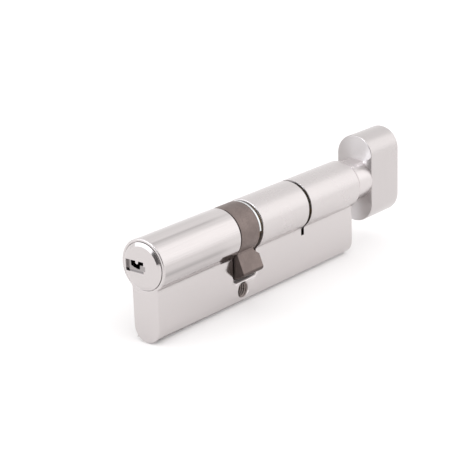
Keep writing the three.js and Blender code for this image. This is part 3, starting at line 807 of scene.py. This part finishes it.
# ---- springs and clips ---------------------------------------------------------------------------
def coil(outer_r, wire, turns, span, axis, at=(0.0, 0.0)):
    """A round-wire spring whose coils lie closer together at both ends."""
    sides, steps = 10, 26 * turns
    low, high = span
    length = high - low - wire
    path = []
    for i in range(steps + 1):
        t = i / steps
        rise = length * (t - 0.5 * math.sin(2 * math.pi * t) / (2 * math.pi))
        angle = 2 * math.pi * turns * t
        r = outer_r - wire / 2
        path.append(Vector((r * math.cos(angle), r * math.sin(angle), low + wire / 2 + rise)))
    verts, faces = [], [tuple(range(sides)), tuple(range(steps * sides, (steps + 1) * sides))]
    for i, point in enumerate(path):
        ahead = (path[min(i + 1, steps)] - path[max(i - 1, 0)]).normalized()
        outward = Vector((point.x, point.y, 0)).normalized()
        across = ahead.cross(outward).normalized()
        for k in range(sides):
            t = 2 * math.pi * k / sides
            verts.append(point + (outward * math.cos(t) + across * math.sin(t)) * wire / 2)
    for i in range(steps):
        for k in range(sides):
            n = (k + 1) % sides
            a, b = i * sides, (i + 1) * sides
            faces.append((a + k, a + n, b + n, b + k))
    if axis == "X":
        verts = [(v.z, v.x, v.y) for v in verts]
    else:
        verts = [(at[0] + v.x, at[1] + v.y, v.z) for v in verts]
    return mesh_object("coil", verts, faces)


def squeeze(spring, anchor, travel):
    """Gives the spring a mesh of its own."""
    where = (Vector(anchor) + Vector((0, 0, AXIS_Z))) * MM
    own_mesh(spring)


def clip(low, high, inner_r, outer_r, open_degrees):
    """A flat C-shaped clip, open towards -Z."""
    start, end = -90 + open_degrees / 2, 270 - open_degrees / 2
    outline = arc((0, 0), outer_r, start, end, 96) + arc((0, 0), inner_r, end, start, 96)
    return bevel(prism(outline, low, high), 0.14, segments=2)


def build_clips():
    clips = (
        ("plug_clip", "key_plug", PLUG_CLIP),
        ("gap_clip", "thumbturn", GAP_CLIP),
        ("slit_clip", "housing", SLIT_CLIP),
    )
    for name, body, sizes in clips:
        place(clip(*sizes), name + "_fine", body, clip_steel, [name])


# ---- cam and couplings ---------------------------------------------------------------------------
def tooth_outline():
    """The tooth across its thickness, as (y, z) of a tooth that points to +Z, with a fillet at the ring."""
    half, tip_r, rounding, fillet = TOOTH_HALF_THICK, TOOTH_TIP_R, TOOTH_ROUNDING, TOOTH_FILLET
    root_y = half + fillet
    root_z = math.sqrt((CAM_R + fillet) ** 2 - root_y**2)
    root_turn = 180 + math.degrees(math.atan2(root_z, root_y))
    corner_y = half - rounding
    corner_z = math.sqrt((tip_r - rounding) ** 2 - corner_y**2)
    corner_turn = math.degrees(math.atan2(corner_z, corner_y))
    side = arc((root_y, root_z), fillet, root_turn, 180, 8)
    side += arc((corner_y, corner_z), rounding, 0, corner_turn, 8)
    tip = arc((0, 0), tip_r, corner_turn, 180 - corner_turn, 20)[1:-1]
    other_side = [(-y, z) for y, z in reversed(side)]
    return [(half, TOOTH_FOOT_R)] + side + tip + other_side + [(-half, TOOTH_FOOT_R)]


def cam_tooth():
    """The tooth's outline, turned to its angle, and trimmed by a blank with a sloping shoulder."""
    tooth = prism(tooth_outline(), TOOTH_LOW_X, TOOTH_HIGH_X)
    tooth.data.transform(Matrix.Rotation(TOOTH_ANGLE - math.pi / 2, 4, "X"))
    inner, corner = TOOTH_TIP_R - TOOTH_CORNER, TOOTH_CORNER
    blank = [(TOOTH_LOW_X, 0)]
    blank += arc((TOOTH_LOW_X + corner, inner), corner, 180, 90, 8)
    blank += arc((TOOTH_HIGH_X - corner, inner), corner, 90, 0, 8)
    blank += [(TOOTH_HIGH_X, TOOTH_SHOULDER_R), (TOOTH_ROOT_X, TOOTH_ROOT_R), (TOOTH_ROOT_X, 0)]
    return common(tooth, lathe(blank, 2 * ROUND))


def build_cam():
    cam = join(bar(CAM_R, CAM_LOW_X, CAM_HIGH_X, segments=ROUND), cam_tooth())
    cut(
        cam,
        bar(CAM_CLIP_RECESS_R, TOOTH_LOW_X - 1, CAM_CLIP_RECESS_X, segments=ROUND),
        bar(CAM_BORE_R, CAM_CLIP_RECESS_X - 1, CAM_WALL_X[0], segments=ROUND),
        bar(CAM_BORE_R, CAM_WALL_X[1], TOOTH_HIGH_X + 1, segments=ROUND),
        tongue_slot(CAM_WALL_X[0] - 1, CAM_WALL_X[1] + 1),
    )

    def rule(middle):
        radius = math.hypot(middle.y, middle.z)
        return 0.0 if radius < CAM_R - 0.4 else 1.0

    bevel(cam, 0.2, rule, segments=2, least_angle=40)
    place(cam, "cam_body", "cam", cam_steel, ["cam"])


def tongue(low, high):
    return block((low, high), (-TONGUE_HALF_Y, TONGUE_HALF_Y), (-TONGUE_HALF_Z, TONGUE_HALF_Z))


def build_couplings():
    nose_x, nose_y, nose_z = KEY_NOSE
    key_side = join(tongue(*KEY_TONGUE_X), block(nose_x, nose_y, nose_z))
    stem = bar(TURN_STEM_R, TURN_TONGUE_X[1] - 0.5, TURN_STEM_END)
    turn_side = join(tongue(*TURN_TONGUE_X), stem)
    for piece, name in ((key_side, "key_coupling"), (turn_side, "turn_coupling")):
        bevel(piece, 0.15, segments=2)
        place(piece, name + "_fine", name, hard_steel, [name])


# ---- thumbturn side ------------------------------------------------------------------------------
def build_rotor():
    profile = [
        (ROTOR_FRONT_X, 0),
        (ROTOR_FRONT_X, BOSS_R),
        (GAP_CLIP[0] - 0.1, BOSS_R),
        (GAP_CLIP[0] - 0.1, GROOVE_R),
        (GAP_CLIP[1] + 0.1, GROOVE_R),
        (GAP_CLIP[1] + 0.1, BOSS_R),
        (ROTOR_SHOULDER_X, BOSS_R),
        (ROTOR_SHOULDER_X, PLUG_R),
        (SLIT_CLIP[0] - 0.2, PLUG_R),
        (SLIT_CLIP[0] - 0.2, SLIT_GROOVE_R),
        (SLIT_CLIP[1] + 0.2, SLIT_GROOVE_R),
        (SLIT_CLIP[1] + 0.2, PLUG_R),
        (TURN_END, PLUG_R),
        (TURN_END, 0),
    ]
    side = (-SPINDLE_HALF, SPINDLE_HALF)
    rotor = join(lathe(profile), block((TURN_END - 1, SPINDLE_END), side, side))
    spring_hole = bar(ROTOR_SPRING_HOLE_R, ROTOR_FRONT_X - 1, ROTOR_SPRING_HOLE_END)
    cut(rotor, tongue_slot(ROTOR_FRONT_X - 1, ROTOR_SLOT_X), spring_hole)
    bevel(rotor, 0.12, segments=2)
    place(rotor, "turn_rotor_fine", "thumbturn", brass, ["turn_rotor"])
    spring = coil(*COUPLING_SPRING, COUPLING_SPRING_X, "X")
    place(spring, "coupling_spring_fine", "thumbturn", spring_steel, ["coupling_spring"])
    squeeze(spring, (COUPLING_SPRING_X[1], 0, 0), CLUTCH_TRAVEL)


def build_knob():
    """A flat stadium grip on a turned neck, with a thin groove near the neck's end."""
    straight = KNOB_HALF_HEIGHT - KNOB_HALF_WIDTH
    outline = arc((0, straight), KNOB_HALF_WIDTH, 0, 180, 96)
    outline += arc((0, -straight), KNOB_HALF_WIDTH, 180, 360, 96)
    grip = bevel(prism(outline, KNOB_LOW_X, KNOB_HIGH_X), 0.42)
    seam = NECK_LOW_X + NECK_SEAM
    neck = [
        (NECK_LOW_X, 0),
        (NECK_LOW_X, NECK_R - 0.2),
        (NECK_LOW_X + 0.2, NECK_R),
        (seam, NECK_R),
        (seam + 0.08, NECK_R - 0.16),
        (seam + 0.22, NECK_R - 0.16),
        (seam + 0.3, NECK_R),
        (KNOB_LOW_X + 1, NECK_R),
        (KNOB_LOW_X + 1, 0),
    ]
    join(grip, lathe(neck))
    side = (-SPINDLE_HOLE_HALF, SPINDLE_HOLE_HALF)
    cut(
        grip,
        block((NECK_LOW_X - 1, SPINDLE_END + 0.2), side, side),
        bar(GRUB_HOLE_R, -NECK_R - 1, -SPINDLE_HOLE_HALF + 0.5, "Z", (GRUB_X, 0)),
    )
    place(grip, "knob_body", "thumbturn", knob_side, ["knob"])
    grip.data.materials.append(knob_face)
    # the neck gets the brightened copy of the nickel, painted light
    grip.data.materials.append(knob_neck_brightened)
    for polygon in grip.data.polygons:
        if polygon.center.x < KNOB_LOW_X * MM:
            polygon.material_index = 2
        elif abs(polygon.normal.x) > 0.95:
            polygon.material_index = 1
    grip.data.use_auto_texspace = False
    grip.data.texspace_location = (KNOB_LOW_X * MM, 0, AXIS_Z * MM)
    grip.data.texspace_size = (KNOB_HALF_HEIGHT * MM,) * 3


def build_grub_screw():
    low, high = GRUB_Z
    profile, turns = [(low, 0), (low, GRUB_R - 0.25), (low + 0.2, GRUB_R)], 4
    for i in range(turns):
        z = low + 0.45 + 0.5 * i
        profile += [(z, GRUB_R), (z + 0.2, GRUB_R - 0.22), (z + 0.4, GRUB_R)]
    profile += [(high - 0.35, GRUB_R), (high, GRUB_R - 0.45), (high, 0)]
    screw = lathe(profile, SMALL, "Z", (GRUB_X, 0))
    socket = bar(GRUB_SOCKET_R, low - 1, low + GRUB_SOCKET_DEPTH, "Z", (GRUB_X, 0), segments=6)
    cut(screw, socket)
    place(screw, "knob_grub_screw_fine", "thumbturn", hard_steel, ["knob_grub_screw"])


build_housing()
build_key_plug()
build_pins()
build_drill_pins()
build_clips()
build_cam()
build_couplings()
build_rotor()
build_knob()
build_grub_screw()


# ---- camera, floor and light ---------------------------------------------------------------------
CAMERA_AIM = (-3.30, 0.0, 19.90)
CAMERA_AZIMUTH, CAMERA_ELEVATION, CAMERA_ROLL = 49.57, 18.38, -2.20
CAMERA_DISTANCE = 447.4
CAMERA_LENS, CAMERA_SHIFT_X, CAMERA_SHIFT_Y = 114.5, 0.0056, 0.0117

FLOOR_REACH = 4000.0
FLOOR_COLOUR, FLOOR_GLOW, FLOOR_ROUGHNESS = (0.93, 0.925, 0.925), 0.075, 0.9
CARDS = (  # name, bearing and rise in degrees, distance, width, height, colour, strength
    ("dark_card", -160, 20, 190, 210, 190, (1.0, 0.95, 0.95), 0.12),
    ("soft_panel", 153, 33, 400, 400, 430, (0.95, 0.97, 1.0), 2.1),
    ("beam_panel", 181, 40, 400, 56, 150, (0.91, 0.95, 1.0), 19.0),
)
TENT_STOPS = (  # share of the way from the back over the top to the front, and grey
    (0.0, 0.56),
    (0.24, 0.525),
    (0.44, 0.53),
    (0.56, 0.56),
    (0.65, 0.71),
    (0.86, 0.735),
    (1.0, 0.64),
)
TENT_TINT, TENT_STRENGTH = (1.0, 0.99, 0.99), 2.0


def build_camera():
    data = bpy.data.cameras.new("camera")
    data.lens = CAMERA_LENS
    data.shift_x = CAMERA_SHIFT_X
    data.shift_y = CAMERA_SHIFT_Y
    data.clip_start = 0.01
    camera = bpy.data.objects.new("camera", data)
    bpy.context.scene.collection.objects.link(camera)
    azimuth, elevation = math.radians(CAMERA_AZIMUTH), math.radians(CAMERA_ELEVATION)
    ahead = Vector(
        (
            math.sin(azimuth) * math.cos(elevation),
            math.cos(azimuth) * math.cos(elevation),
            -math.sin(elevation),
        )
    )
    turn = ahead.to_track_quat("-Z", "Y").to_matrix().to_4x4()
    roll = Matrix.Rotation(math.radians(CAMERA_ROLL), 4, "Z")
    where = (Vector(CAMERA_AIM) - ahead * CAMERA_DISTANCE) * MM
    camera.matrix_world = Matrix.Translation(where) @ turn @ roll
    bpy.context.scene.camera = camera


def stage_material(name, colour, glow, strength, roughness=0.5):
    """A plain material without shine that also gives off light of the glow colour."""
    material = bpy.data.materials.new(name)
    material.use_nodes = True
    shader = material.node_tree.nodes["Principled BSDF"]
    shader.inputs["Base Color"].default_value = (*colour, 1.0)
    shader.inputs["Roughness"].default_value = roughness
    shader.inputs["Specular IOR Level"].default_value = 0.0
    shader.inputs["Emission Color"].default_value = (*glow, 1.0)
    shader.inputs["Emission Strength"].default_value = strength
    return material


def build_floor():
    z, reach = FOOT_Z + AXIS_Z, FLOOR_REACH
    corners = [(-reach, -reach, z), (reach, -reach, z), (reach, reach, z), (-reach, reach, z)]
    floor = mesh_object("floor", [tuple(c * MM for c in corner) for corner in corners], [(0, 1, 2, 3)])
    white = stage_material("floor_white", FLOOR_COLOUR, (1.0, 1.0, 1.0), FLOOR_GLOW, FLOOR_ROUGHNESS)
    floor.data.materials.append(white)
    floor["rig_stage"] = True


def build_card(name, bearing, rise, distance, width, height, colour, strength):
    """A studio card that only reflections see, facing the cylinder from a bearing and a rise."""
    turn = Matrix.Rotation(math.radians(bearing), 4, "Z") @ Matrix.Rotation(math.radians(-rise), 4, "Y")
    across, up = width / 2, height / 2
    centre = Vector((0, 0, AXIS_Z))
    corners = ((-across, -up), (across, -up), (across, up), (-across, up))
    verts = [(turn @ Vector((distance, y, z)) + centre) * MM for y, z in corners]
    card = mesh_object(name, verts, [(0, 1, 2, 3)])
    card.data.materials.append(stage_material(name, (0.0, 0.0, 0.0), colour, strength))
    card.visible_camera = False
    card.visible_diffuse = False
    card.visible_shadow = False
    card.visible_transmission = False
    card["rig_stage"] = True


def build_world():
    """A soft white tent round the plug axis, brightest in front and dimmest high behind."""
    world = bpy.data.worlds.new("tent")
    bpy.context.scene.world = world
    world.use_nodes = True
    tree = world.node_tree
    background = tree.nodes["Background"]
    place_in = tree.nodes.new("ShaderNodeTexCoord")
    split = tree.nodes.new("ShaderNodeSeparateXYZ")
    turn = tree.nodes.new("ShaderNodeMath")
    turn.operation = "ARCTAN2"
    share = tree.nodes.new("ShaderNodeMath")
    share.operation = "DIVIDE"
    share.inputs[1].default_value = math.pi
    ramp = tree.nodes.new("ShaderNodeValToRGB")
    tree.links.new(place_in.outputs["Generated"], split.inputs[0])
    tree.links.new(split.outputs[2], turn.inputs[0])
    tree.links.new(split.outputs[1], turn.inputs[1])
    tree.links.new(turn.outputs[0], share.inputs[0])
    tree.links.new(share.outputs[0], ramp.inputs[0])
    tree.links.new(ramp.outputs[0], background.inputs["Color"])
    fill_ramp(ramp, TENT_STOPS, TENT_TINT)
    background.inputs["Strength"].default_value = TENT_STRENGTH


build_camera()
build_floor()
for card in CARDS:
    build_card(*card)
build_world()
bpy.context.scene.view_settings.view_transform = "Standard"

boxes = {"cad": cad_box, "visual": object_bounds()}
{key: [list(corner) for corner in box] for key, box in boxes.items()}
